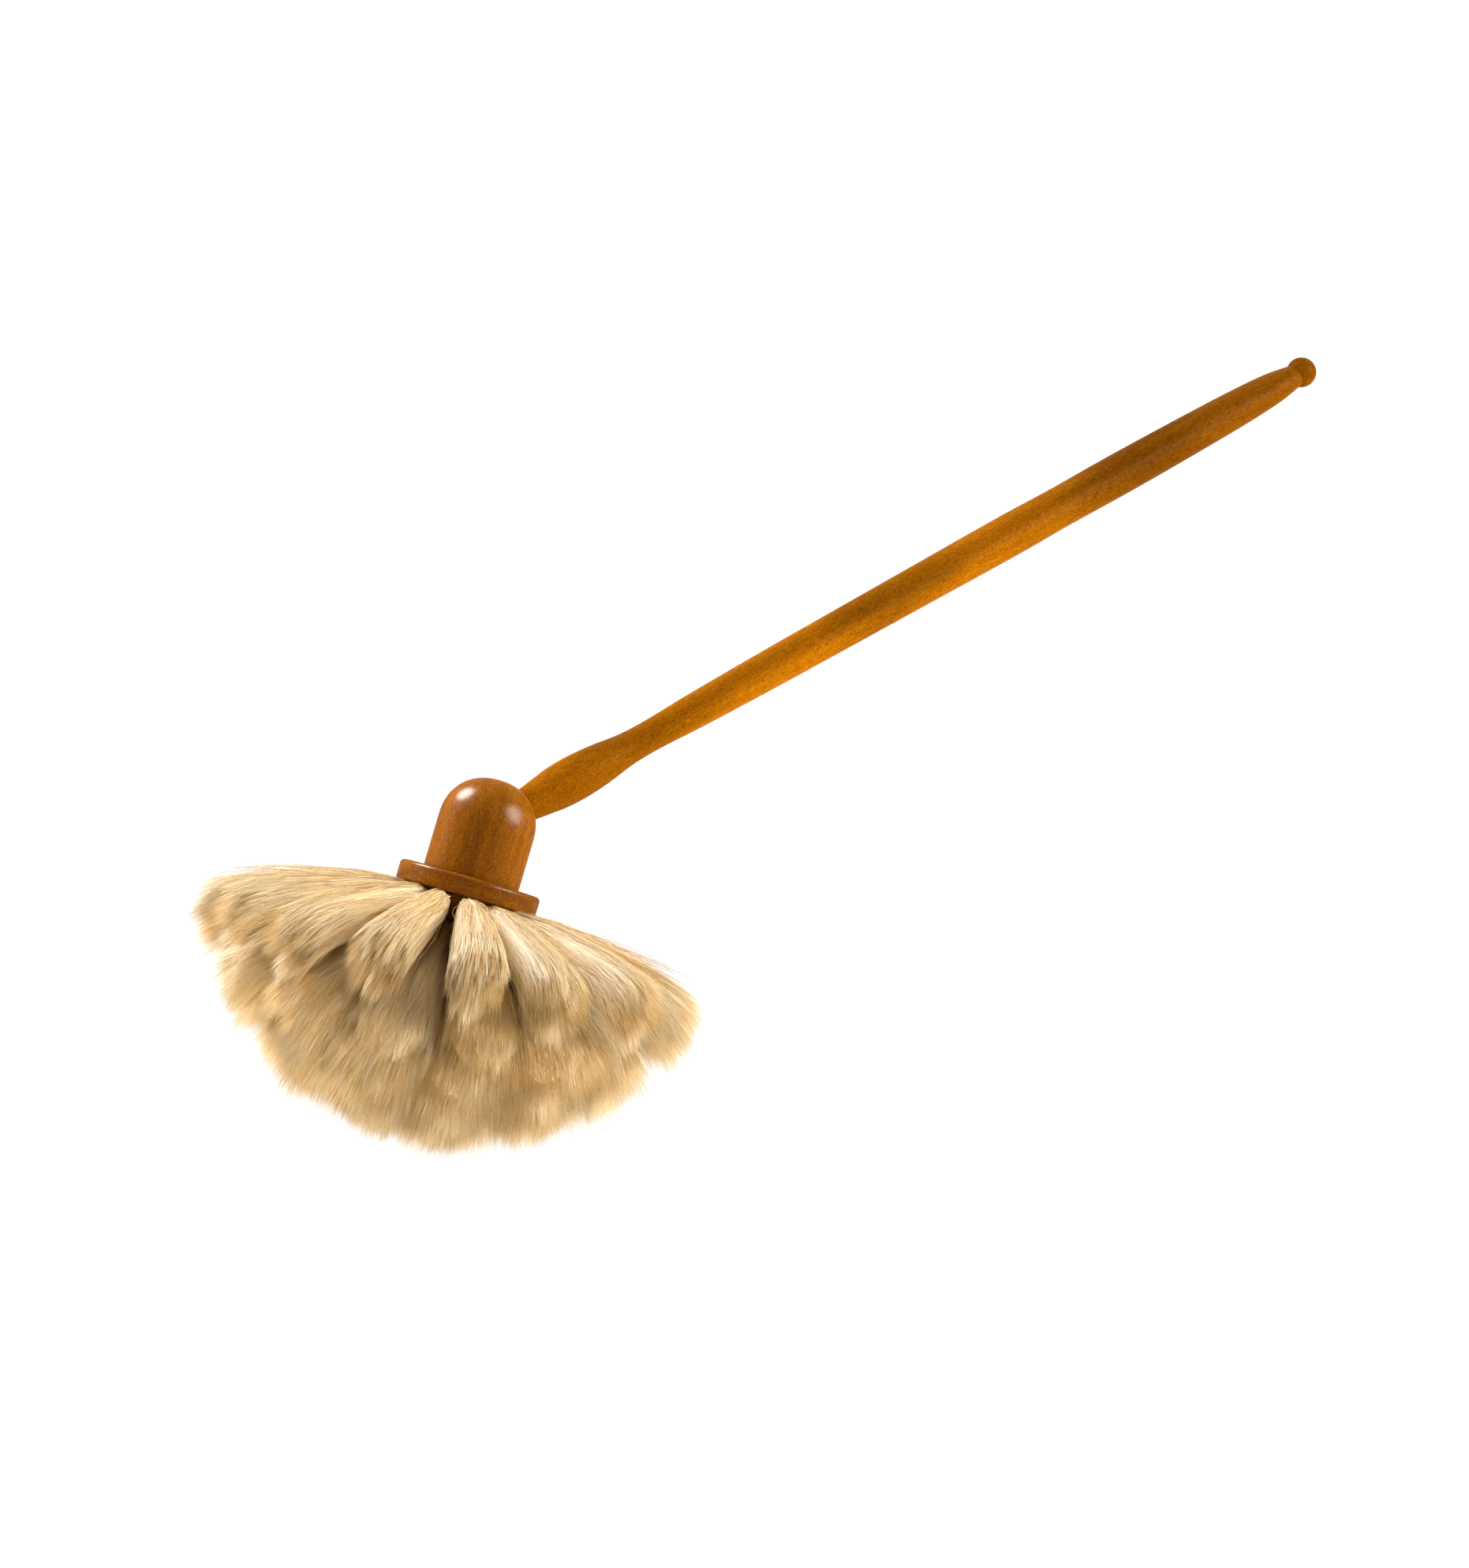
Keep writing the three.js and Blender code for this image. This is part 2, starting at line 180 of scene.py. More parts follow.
def drawn_out(tree, place, squeeze):
    """Places squeezed along Z, so that a pattern on them is drawn out along the grain."""
    return add_node(tree, "ShaderNodeMapping", {"Vector": place, "Scale": (1, 1, squeeze)}).outputs[0]


def noise(tree, place, scale, detail, roughness=0.5, distortion=0, **settings):
    """A cloudy pattern from 0 to 1. A scale of 1000 has clouds of about a millimetre."""
    grain = {"Scale": scale, "Detail": detail, "Roughness": roughness, "Distortion": distortion}
    return add_node(tree, "ShaderNodeTexNoise", {"Vector": place, **grain}, **settings).outputs["Fac"]


def blend(tree, share, first, second):
    """A pattern between two others, as near the second as the share says."""
    both = {"Factor": share, "A": first, "B": second}
    return add_node(tree, "ShaderNodeMix", both, data_type="FLOAT").outputs["Result"]


def darken(tree, share, colour, marks):
    """A colour times the colour of marks on it, as far as the share says."""
    both = {"Factor": share, 6: colour, 7: marks}  # the sockets of its two colours
    return add_node(tree, "ShaderNodeMix", both, data_type="RGBA", blend_type="MULTIPLY").outputs[2]


def from_to(tree, value, low, high, new_low, new_high):
    """A number of one range brought to another, and kept inside it."""
    ends = {"From Min": low, "From Max": high, "To Min": new_low, "To Max": new_high}
    return add_node(tree, "ShaderNodeMapRange", {"Value": value, **ends}).outputs["Result"]


def oiled_wood(name, lie, dark, middle, pale, streak_width, pith, gloss, sheen, shaded_span=()):
    """Oiled fruit wood with its grain along Z of its lie: streaks, growth rings about a pith to one side,
    fine pores and specks. A long piece has dark flames, and a painted shade that darkens it from one
    distance along it to another, in metres, and past that."""
    material = bpy.data.materials.new(name)
    material.use_nodes = True
    tree = material.node_tree
    shader = tree.nodes["Principled BSDF"]
    place = add_node(tree, "ShaderNodeTexCoord", {}).outputs["Object"]
    turn = {"Vector": place, "Location": lie.translation, "Rotation": lie.to_euler()}
    wood = add_node(tree, "ShaderNodeMapping", turn, vector_type="TEXTURE").outputs[0]
    leant = {"Vector": wood, "Location": (*pith, 0), "Rotation": (0.03, 0.022, 0)}
    heart = add_node(tree, "ShaderNodeMapping", leant).outputs[0]
    long_grain = drawn_out(tree, wood, 0.06)
    short_grain = drawn_out(tree, wood, 0.22)
    streaks = noise(tree, long_grain, 1 / streak_width, detail=4, roughness=0.55, distortion=0.4)
    fibres = noise(tree, short_grain, 800, detail=3, roughness=0.7, distortion=0.2)
    pores = noise(tree, short_grain, 1700, detail=3, roughness=0.65)
    speckle = noise(tree, wood, 1500, detail=3, roughness=0.7)
    growth = {"Scale": 62, "Distortion": 4.5, "Detail": 3, "Detail Scale": 1.1}
    rings = add_node(
        tree,
        "ShaderNodeTexWave",
        {"Vector": drawn_out(tree, heart, 0.08), **growth},
        wave_type="RINGS",
        rings_direction="Z",
    ).outputs["Fac"]
    figure = blend(tree, 0.08, streaks, rings)
    figure = blend(tree, 0.45, figure, fibres)
    colour = colour_ramp(tree, figure, [(0.36, dark), (0.5, middle), (0.62, pale)])
    flecks = colour_ramp(tree, pores, [(0.36, grey(0.42)), (0.47, grey(1))])
    grains = colour_ramp(tree, speckle, [(0.38, grey(0.5)), (0.6, grey(1))])
    marks_on_it = [(0.6, flecks), (0.9, grains)]
    if shaded_span:
        # Painted shade: the wood darkens towards the far end of the piece.
        height = add_node(tree, "ShaderNodeSeparateXYZ", {"Vector": wood}).outputs["Z"]
        shade_share = from_to(tree, height, *shaded_span, 0, 1)
        painted_shade_tone = (0.54, 0.52, 0.52, 1)
        marks_on_it.append((1, colour_ramp(tree, shade_share, [(0, grey(1)), (1, painted_shade_tone)])))
        swing = {"Scale": 11, "Distortion": 2.6, "Detail": 2, "Detail Scale": 5, "Phase Offset": 0.2}
        flames = add_node(
            tree,
            "ShaderNodeTexWave",
            {"Vector": drawn_out(tree, wood, 0.2), **swing},
            bands_direction="Z",
        ).outputs["Fac"]
        marks_on_it.append((1, colour_ramp(tree, flames, [(0.5, grey(1)), (1, grey(0.68))])))
    for share, marks in marks_on_it:
        colour = darken(tree, share, colour, marks)
    tree.links.new(colour, shader.inputs["Base Color"])
    dullness = from_to(tree, streaks, 0.3, 0.7, 0.44, 0.34)
    tree.links.new(dullness, shader.inputs["Roughness"])
    relief = add_node(
        tree, "ShaderNodeBump", {"Strength": 0.22, "Distance": 0.0003, "Height": pores}
    ).outputs["Normal"]
    tree.links.new(relief, shader.inputs["Normal"])
    tree.links.new(relief, shader.inputs["Coat Normal"])
    shader.inputs["Specular IOR Level"].default_value = 0
    shader.inputs["Coat Weight"].default_value = gloss
    shader.inputs["Coat Roughness"].default_value = 0.25
    shader.inputs["Sheen Weight"].default_value = sheen
    shader.inputs["Sheen Roughness"].default_value = 0.35
    shader.inputs["Sheen Tint"].default_value = paint(255, 214, 160)
    return material


lay_down(handle, handle_lie)
handle.data.materials.append(
    oiled_wood(
        "handle_wood",
        handle_lie,
        dark=paint(170, 98, 4),
        middle=paint(187, 109, 5),
        pale=paint(201, 119, 8),
        streak_width=0.012,
        pith=(0.013, 0.021),
        gloss=0.004,
        sheen=0.18,
        # painted shade, darker from here along the handle towards its ball
        shaded_span=(0.26, 0.37),
    )
)
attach(handle, "root")
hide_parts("handle")

# The dome, the turned top of the head, of the same wood with its grain upright. The handle's tenon
# runs into it, and it is glued on the flange of the stock below.
DOME_RADIUS = 20
DOME_FOOT = 8.2
FOOT_ROUNDING = ((0.5, 0), (0.1, 0.3))  # in from the wall, and up from the foot
WALL_FROM = 0.8  # above the foot
WALL_RINGS = 12
CROWN_POWER = 2.2  # 2 is a true hemisphere, more is fuller
CROWN_RINGS = 40
CROWN_END = 89.5  # degrees, just short of the pole

dome_profile = [(DOME_RADIUS - into, DOME_FOOT + up) for into, up in FOOT_ROUNDING]
for height in np.linspace(DOME_FOOT + WALL_FROM, CROWN_CENTRE, WALL_RINGS):
    dome_profile.append((DOME_RADIUS, height))
for turn in [radians(CROWN_END * i / CROWN_RINGS) for i in range(1, CROWN_RINGS + 1)]:
    out = DOME_RADIUS * cos(turn) ** (2 / CROWN_POWER)
    up = DOME_RADIUS * sin(turn) ** (2 / CROWN_POWER)
    dome_profile.append((out, CROWN_CENTRE + up))
dome = turn_on_lathe("turned_dome", dome_profile, sides=96)
lay_down(dome, head_lie)
dome.data.materials.append(
    oiled_wood(
        "dome_wood",
        head_lie,
        dark=paint(144, 81, 2),
        middle=paint(162, 93, 2),
        pale=paint(178, 104, 4),
        streak_width=0.007,
        pith=(0.03, -0.012),
        gloss=0.13,
        sheen=0.05,
    )
)
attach(dome, "root")
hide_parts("dome")

# The stock under the dome, turned from a darker wood: a flange with round edges and a bowl below it.
# The bowl is bored with a hole for each tuft, in four rings.
FLANGE_RADIUS = 29.4
FLANGE_THICKNESS = 8.2
FLANGE_EDGE = 1.8  # the rounding of its upper edge
FLANGE_FOOT = 0.8  # and of its lower edge
UNDER_DOME = 2  # how far its top runs in under the dome
BOWL_RADIUS = 24.5
BOWL_CORNER = ((0.4, -0.2), (0.9, 0))  # out from the bowl and up, where it meets the flange
HOLE_RADIUS = 2.7
HOLE_END = 17  # from the middle of the flange's underside
DRILL_END = BOWL_RADIUS + 2
STOCK_GRAIN_TURN = radians(35)  # the grain lies level, turned about the head so far
HOLE_RINGS = (  # how many holes, the first one's turn about the head, and their slope below the flange
    {"tufts": 16, "turn": 18.5, "root": 10},
    {"tufts": 13, "turn": 8, "root": 34},
    {"tufts": 9, "turn": 25, "root": 55},
    {"tufts": 4, "turn": 3, "root": 75.5},
)


def way(droop, azimuth):
    """A direction from the middle of the flange's underside, below the flange and around the head."""
    droop, azimuth = radians(droop), radians(azimuth)
    return np.array([cos(droop) * cos(azimuth), cos(droop) * sin(azimuth), -sin(droop)])


def tuft_azimuths(ring):
    """Where the holes of a ring stand around the head, in degrees."""
    return [ring["turn"] + 360 * i / ring["tufts"] for i in range(ring["tufts"])]


stock_profile = bow(0, 0, BOWL_RADIUS, start=-89, end=-2, steps=30)
stock_profile += [(BOWL_RADIUS + out, up) for out, up in BOWL_CORNER]
stock_profile += bow(FLANGE_RADIUS - FLANGE_FOOT, FLANGE_FOOT, FLANGE_FOOT, start=-90, end=0, steps=5)
top_edge = FLANGE_THICKNESS - FLANGE_EDGE
stock_profile += bow(FLANGE_RADIUS - FLANGE_EDGE, top_edge, FLANGE_EDGE, start=0, end=90, steps=10)
stock_profile.append((DOME_RADIUS - UNDER_DOME, FLANGE_THICKNESS))
stock = turn_on_lathe("turned_stock", stock_profile, sides=96)
bpy.ops.object.select_all(action="DESELECT")
drills = []
for ring in HOLE_RINGS:
    for azimuth in tuft_azimuths(ring):
        bore = Vector(way(ring["root"], azimuth))
        bpy.ops.mesh.primitive_cylinder_add(
            vertices=20,
            radius=HOLE_RADIUS,
            depth=DRILL_END - HOLE_END,
            location=bore * (DRILL_END + HOLE_END) / 2,
            rotation=bore.to_track_quat("Z", "Y").to_euler(),
        )
        drills.append(bpy.context.object)
for drill in drills:
    drill.select_set(True)
bpy.ops.object.join()
drill = bpy.context.object
bpy.ops.object.select_all(action="DESELECT")
stock.select_set(True)
bpy.context.view_layer.objects.active = stock
boring = stock.modifiers.new("boring", "BOOLEAN")
boring.operation = "DIFFERENCE"
boring.object = drill
bpy.ops.object.modifier_apply(modifier="boring")
bpy.data.objects.remove(drill)
lay_down(stock, head_lie)
stock_lie = head_lie @ Matrix.Rotation(radians(90), 4, "Y") @ Matrix.Rotation(STOCK_GRAIN_TURN, 4, "X")
stock.data.materials.append(
    oiled_wood(
        "stock_wood",
        stock_lie,
        dark=paint(124, 69, 2),
        middle=paint(143, 81, 3),
        pale=paint(159, 92, 6),
        streak_width=0.006,
        pith=(0.05, 0.02),
        gloss=0.13,
        sheen=0.05,
    )
)
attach(stock, "root")
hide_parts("stock")

# The hair, forty-two tufts of goat hair in four rings, each a folded bundle drawn into its hole. A
# tuft leaves the bowl as a tight head, fans out and bends down, and its end is cut round. Its packed
# inside is one body, and over it lie fine hairs, each of which shows for a short stretch.

# The tufts of each ring. In degrees: how far they are combed round (swirl), and how far below the
# flange they leave the hole, have their tip and run at their end. In millimetres: how far the end
# sags, its half width and half depth, the tip's distance from the flange's middle, and how much
# shorter its sides are than its middle. Then the share of the length from which hairs show, how pale
# they are, how little painted shade darkens them at the root, how much wider a tuft is behind, the
# unevenness of swirl, tip and reach, and the seed of that unevenness.
TUFT_RINGS = (
    {"swirl": 4.4, "leave": 9, "tip": 16.6, "end": 22, "sag": 4, "wide": 13.6, "deep": 12.8,
     "reach": 110.5, "rounding": 7, "shown": -0.06, "shade": 0.57, "painted_root_light": 0.6, "fuller": 0.45,
     "loose": (1.2, 1.1, 0.8), "seed": 25233},
    {"swirl": 0, "leave": 31, "tip": 35.5, "end": 39, "sag": 3, "wide": 21, "deep": 16,
     "reach": 108.5, "rounding": 7, "shown": 0.15, "shade": 0.55, "painted_root_light": 0, "fuller": 0.1,
     "loose": (2, 1.4, 1.2), "seed": 106},
    {"swirl": 0, "leave": 53, "tip": 55.5, "end": 58, "sag": 1.5, "wide": 21.5, "deep": 18,
     "reach": 106.5, "rounding": 6, "shown": 0.2, "shade": 0.54, "painted_root_light": 0, "fuller": 0.1,
     "loose": (2, 1.4, 1.2), "seed": 116},
    {"swirl": 0, "leave": 75, "tip": 78, "end": 79, "sag": 0, "wide": 18, "deep": 17,
     "reach": 105, "rounding": 5, "shown": 0.2, "shade": 0.54, "painted_root_light": 0, "fuller": 0.1,
     "loose": (2.5, 1.4, 1.2), "seed": 647},
)
SEED_STEP = 1000  # between the seeds of two rings, more than there are tufts in one
FULL_TURN = 6.28  # radians

# The run of a tuft, from its hole to its tip.
ROOT_DEPTH = 1.5  # below the bowl's surface
ROOT_RADIUS = 2.3
LEAVE_PULL = 16
END_PULL = 35
SWIRL_SOON = 2.5  # a tuft that is combed round turns most next to its root
SPREAD_POWER = 0.78  # under 1, so that a tuft spreads soonest next to its root
SWELL_POWER = 0.65
SAG_FROM = 0.7  # of its length, where a tuft starts to sag
FAN_LEAN = 2.3  # degrees, up on the handle's side
FRONT_AZIMUTH = 243.5
ROUNDING_BELOW = 2.5  # how much shorter its top and bottom are than its middle
LOOSE_WIDTH = (0.94, 1.1)
LOOSE_SHADE = 0.03

# Its packed inside, in rings from its root to its end.
CORE_SIZE = 0.96  # of the tuft
CORE_SHORT = 8
CORE_SIDES = 28
CORE_STEPS = np.array([0, 0.05, 0.12, 0.22, 0.36, 0.54, 0.7, 0.82, 0.91, 0.97, 1])
CORE_GIRTH = np.array([1, 1, 1, 1, 1, 1, 1, 0.97, 0.87, 0.66, 0])
CORE_RIPPLES = range(3, 11)  # to a round
RIPPLE_SIZE = 0.022
CORE_STREAK = 0.12  # how much paler and darker than the tuft its streaks are

# Its fine hairs: their number, their locks, where they start and stop as shares of the tuft, and how
# they stray, in millimetres.
SURFACE_HAIRS = 2200  # on the outside of a tuft
END_HAIRS = 2000  # around its end
LOCKS = 26  # around a tuft
LOCK_LAYERS = 3  # from its middle out
ALL_LOCKS = LOCKS * LOCK_LAYERS
LOCK_PULL = 0.7  # how far the ends of a lock are drawn together
LOCK_MIXING = 0.4  # how far hairs stray into the next lock
LOCK_RAGGED = 1.7
HAIR_RAGGED = 0.6
SOONER_SHARE = 0.45  # of the hairs end sooner than the rest
SOONER_BY = 5
END_LENGTHS = (0.16, 0.3)
SURFACE_LENGTHS = (0.16, 0.36)
LAST_START = 0.84
LEAST_LENGTH = 0.08
HAIR_LEAN = 6
LOCK_LEAN = 3
END_START_HEIGHT = 0.95  # of the tuft's girth
START_HEIGHTS = (0.9, 0.99)
STOP_HEIGHTS = (0.97, 1.045)
END_DROOP = (3.5, 2)  # the middle and the spread
SURFACE_DROOP = (0, 0.25)
LOCK_SPLAY = 1
HAIR_SPLAY = 0.5
HAIR_STEPS = np.array([0, 0.45, 1])
HAIR_WIDTHS = np.array([0.05, 0.12, 0])  # from the middle to an edge
WIDTH_SHARES = (0.75, 1.25)
END_WIDER = 1.15
LOCK_SHADES = 0.05
HAIR_SHADES = 0.16
SHADE_ENDS = (0.02, 0.98)

# Its long hairs: strays around it, and flyaways over the top of the first ring.
STRAYS = 34
FLYAWAYS = 24
FLYAWAY_SPAN = 0.85  # radians to each side of the top
FLYAWAY_ENDS = (0.75, 1.02)
FLYAWAY_LIFT = (1, 8)
FLYAWAY_SHADES = (0.05, 0.4)
STRAY_ENDS = (0.3, 0.95)
STRAY_SHADES = (0.5, 0.95)
LONG_SWAY = (2.6, 1.6)  # aside and below
SWAY_CYCLES = (0.6, 1.8)
SWAY_SHARES = (0.4, 1.4)
LONG_STEPS = np.array([0, 0.06, 0.15, 0.28, 0.45, 0.65, 0.85, 1])
LONG_WIDTHS = np.array([0.1, 0.13, 0.16, 0.17, 0.17, 0.15, 0.1, 0])
LONG_WIDTH_SHARES = (0.8, 1.2)

lean_turn = np.array(Matrix.Rotation(-radians(FAN_LEAN), 3, "Y"))


def bent_line(line, share):
    """Points and directions at shares of a bent line of four control points."""
    start, near, far, end = line
    t = share[..., None]
    r = 1 - t
    points = r**3 * start + 3 * r * r * t * near + 3 * r * t * t * far + t**3 * end
    runs = r * r * (near - start) + 2 * r * t * (far - near) + t * t * (end - far)
    return points, runs / np.linalg.norm(runs, axis=-1, keepdims=True)


def hair_paths(ring, azimuth, share, aside, below, sway=(0, 0), lift=0):
    """Where hairs of one tuft run, and which way they face. Each has shares of the tuft's length, its
    place across the bundle, aside and below the middle, and how it sways and lifts off, in mm."""
    combed = azimuth + ring["swirl"]
    start = (BOWL_RADIUS - ROOT_DEPTH) * way(ring["root"], azimuth)
    near = start + LEAVE_PULL * way(ring["leave"], azimuth + SWIRL_SOON * ring["swirl"])
    tip = ring["reach"] * lean_turn @ way(ring["tip"], combed)
    far = tip - END_PULL * lean_turn @ way(ring["end"], combed)
    points, runs = bent_line((start, near, far, tip), share)
    east = np.array([-sin(radians(combed)), cos(radians(combed)), 0])
    south = np.cross(east, runs)
    half_wide = ROOT_RADIUS + (ring["wide"] - ROOT_RADIUS) * share**SPREAD_POWER
    half_deep = ROOT_RADIUS + (ring["deep"] - ROOT_RADIUS) * share**SWELL_POWER
    across = aside * half_wide + sway[0]
    sag = ring["sag"] * (np.clip(share - SAG_FROM, 0, 1) / (1 - SAG_FROM)) ** 2
    down = below * half_deep + sag + sway[1] - lift * share**2
    outward = across[..., None] * east + down[..., None] * south
    return points + outward, outward


def cut_back(ring, aside, below):
    """How much shorter than its middle a tuft's round end is, at a place across it."""
    return ring["rounding"] * aside**2 + ROUNDING_BELOW * below**2


def uneven(rng, ring, azimuth):
    """A tuft's own sizes: no two are combed quite alike, and those far from the front are fuller."""
    own = dict(ring)
    loose_swirl, loose_tip, loose_reach = ring["loose"]
    own["swirl"] += rng.normal(0, loose_swirl)
    own["tip"] += rng.normal(0, loose_tip)
    far_round = (1 - cos(radians(azimuth - FRONT_AZIMUTH))) / 2
    own["wide"] *= rng.uniform(*LOOSE_WIDTH) * (1 + ring["fuller"] * far_round)
    own["reach"] += rng.normal(0, loose_reach)
    own["shade"] += rng.normal(0, LOOSE_SHADE)
    return own


def tuft_core(rng, ring, azimuth):
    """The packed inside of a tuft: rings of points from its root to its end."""
    turn = np.arange(CORE_SIDES) * 2 * np.pi / CORE_SIDES
    ripple = sum(
        rng.normal(0, RIPPLE_SIZE) * np.cos(n * turn + rng.uniform(0, FULL_TURN)) for n in CORE_RIPPLES
    )
    girth = CORE_SIZE * CORE_GIRTH[None, :] * (1 + ripple)[:, None]
    aside, below = girth * np.cos(turn)[:, None], girth * np.sin(turn)[:, None]
    ends = 1 - (CORE_SHORT + cut_back(ring, aside, below)) / (ring["reach"] - BOWL_RADIUS)
    return hair_paths(ring, azimuth, CORE_STEPS[None, :] * ends, aside, below)[0]


def short_hairs(rng, ring, azimuth):
    """Hairs on the outside and at the end of a tuft: their paths, the way they face, their widths, their
    shades and their shares of the tuft's length."""
    count = SURFACE_HAIRS + END_HAIRS
    at_end = np.arange(count) >= SURFACE_HAIRS
    turn = rng.uniform(0, 2 * np.pi, count)
    far = np.where(at_end, np.sqrt(rng.random(count)), 1)
    place = turn / (2 * np.pi) * LOCKS
    lock_place = np.floor(place + rng.normal(0, LOCK_MIXING, count))
    layer = np.minimum(far * LOCK_LAYERS, LOCK_LAYERS - 1).astype(int)
    lock = lock_place.astype(int) % LOCKS + LOCKS * layer
    short = cut_back(ring, far * np.cos(turn), far * np.sin(turn))
    short = short + rng.normal(0, LOCK_RAGGED, ALL_LOCKS)[lock]
    ragged = rng.normal(0, HAIR_RAGGED, count)
    short += ragged + rng.exponential(SOONER_BY, count) * (rng.random(count) < SOONER_SHARE)
    ends = 1 - short / (ring["reach"] - BOWL_RADIUS)
    end_starts = ends - rng.uniform(*END_LENGTHS, count)
    surface_starts = rng.uniform(ring["shown"], LAST_START, count)
    starts = np.clip(np.where(at_end, end_starts, surface_starts), 0, ends - LEAST_LENGTH)
    stops = np.where(at_end, ends, np.minimum(starts + rng.uniform(*SURFACE_LENGTHS, count), ends))
    share = starts[:, None] + HAIR_STEPS * (stops - starts)[:, None]
    girth = ROOT_RADIUS + (ring["wide"] - ROOT_RADIUS) * share[:, 1] ** SPREAD_POWER
    lean = rng.normal(0, HAIR_LEAN, count) + rng.normal(0, LOCK_LEAN, ALL_LOCKS)[lock]
    drawn_in = LOCK_PULL * (lock_place + 0.5 - place) / LOCKS * 2 * np.pi
    veer = np.where(at_end, drawn_in, lean / girth * (stops - starts))
    turn_along = turn[:, None] + veer[:, None] * HAIR_STEPS
    low = np.where(at_end, END_START_HEIGHT, rng.uniform(*START_HEIGHTS, count))[:, None]
    high = rng.uniform(*STOP_HEIGHTS, count)[:, None]
    far_along = far[:, None] * (low + (high - low) * HAIR_STEPS)
    aside, below = far_along * np.cos(turn_along), far_along * np.sin(turn_along)
    droop = np.where(at_end, rng.normal(*END_DROOP, count), rng.normal(*SURFACE_DROOP, count))
    lock_splay = rng.normal(0, LOCK_SPLAY, ALL_LOCKS)[lock]
    splay = np.where(at_end, lock_splay + rng.normal(0, HAIR_SPLAY, count), 0)
    sway = (splay[:, None] * HAIR_STEPS**2, droop[:, None] * HAIR_STEPS**2)
    paths, outward = hair_paths(ring, azimuth, share, aside, below, sway)
    widths = (rng.uniform(*WIDTH_SHARES, count) * np.where(at_end, END_WIDER, 1))[:, None] * HAIR_WIDTHS
    shade = ring["shade"] + rng.normal(0, LOCK_SHADES, ALL_LOCKS)[lock]
    shade = np.clip(shade + rng.normal(0, HAIR_SHADES, count), *SHADE_ENDS)
    return paths, outward, widths, shade, share


def long_hairs(rng, ring, azimuth, flyaways):
    """The same for the strays around a tuft, and for the flyaways over its top."""
    count = STRAYS + flyaways
    flies = np.arange(count) >= STRAYS
    top_turn = rng.uniform(-FLYAWAY_SPAN, FLYAWAY_SPAN, count) - np.pi / 2
    turn = np.where(flies, top_turn, rng.uniform(0, 2 * np.pi, count))
    ends = np.where(flies, rng.uniform(*FLYAWAY_ENDS, count), rng.uniform(*STRAY_ENDS, count))
    share = LONG_STEPS * ends[:, None]
    sway = []
    for size in LONG_SWAY:
        cycles = rng.uniform(*SWAY_CYCLES, count)[:, None]
        phase = rng.uniform(0, FULL_TURN, count)[:, None]
        bow_out = (size * rng.uniform(*SWAY_SHARES, count))[:, None] * share**0.5
        sway.append(bow_out * np.sin(FULL_TURN * cycles * share + phase))
    lift = np.where(flies, rng.uniform(*FLYAWAY_LIFT, count), 0)[:, None]
    aside = np.cos(turn)[:, None] * np.ones_like(share)
    below = np.sin(turn)[:, None] * np.ones_like(share)
    paths, outward = hair_paths(ring, azimuth, share, aside, below, sway, lift)
    widths = rng.uniform(*LONG_WIDTH_SHARES, count)[:, None] * LONG_WIDTHS
    shade = np.where(flies, rng.uniform(*FLYAWAY_SHADES, count), rng.uniform(*STRAY_SHADES, count))
    return paths, outward, widths, shade, share


# How the bundle becomes a mesh: a map runs over each hair, its shade across, its painted shade along.
HAIR_RIDGE = 0.55  # the height of a hair's ridge, as a share of half its width
HAIR_SUNK = 0.4  # how much of that lies below its path
MAP_SPANS = 150  # each side of a hair takes one part in so many of the map's width
ROOT_SPAN = 0.01  # half of what the end of a hair at its root takes
CAP_SPANS = (0.05, 0.001)  # what the cap of a core takes, across and along
LEAST_EDGE = 1e-9  # keeps a hair that has no outward side from dividing by nothing
HAIR_EDGE = radians(100)  # an edge flatter than this is shaded round


def core_faces(rings, shade, light):
    """Places, corners, face sizes and map of a core: walls between its rings, a cap at its root and a
    point at its end. The map runs to and fro over a few shades."""
    sides, steps = rings.shape[:2]
    places = np.concatenate([rings[:, :-1].transpose(1, 0, 2).reshape(-1, 3), rings[:1, -1]])
    faces = [tuple(range(sides))[::-1]]
    spots = [(shade + CAP_SPANS[0] * (k % 2), CAP_SPANS[1] * (k % 3)) for k in range(sides)]
    darker, paler = shade - CORE_STREAK, shade + CORE_STREAK
    for step in range(steps - 1):
        low, high = light[step], light[step + 1]
        for k in range(sides):
            left, right = (darker, paler) if k % 2 else (paler, darker)
            a, b = sides * step + k, sides * step + (k + 1) % sides
            if step < steps - 2:
                faces.append((a, b, b + sides, a + sides))
                spots += [(left, low), (right, low), (right, high), (left, high)]
            else:
                faces.append((a, b, len(places) - 1))
                spots += [(left, low), (right, low), (shade, high)]
    loops = np.concatenate([np.array(face) for face in faces])
    return places, loops, [len(face) for face in faces], np.array(spots)


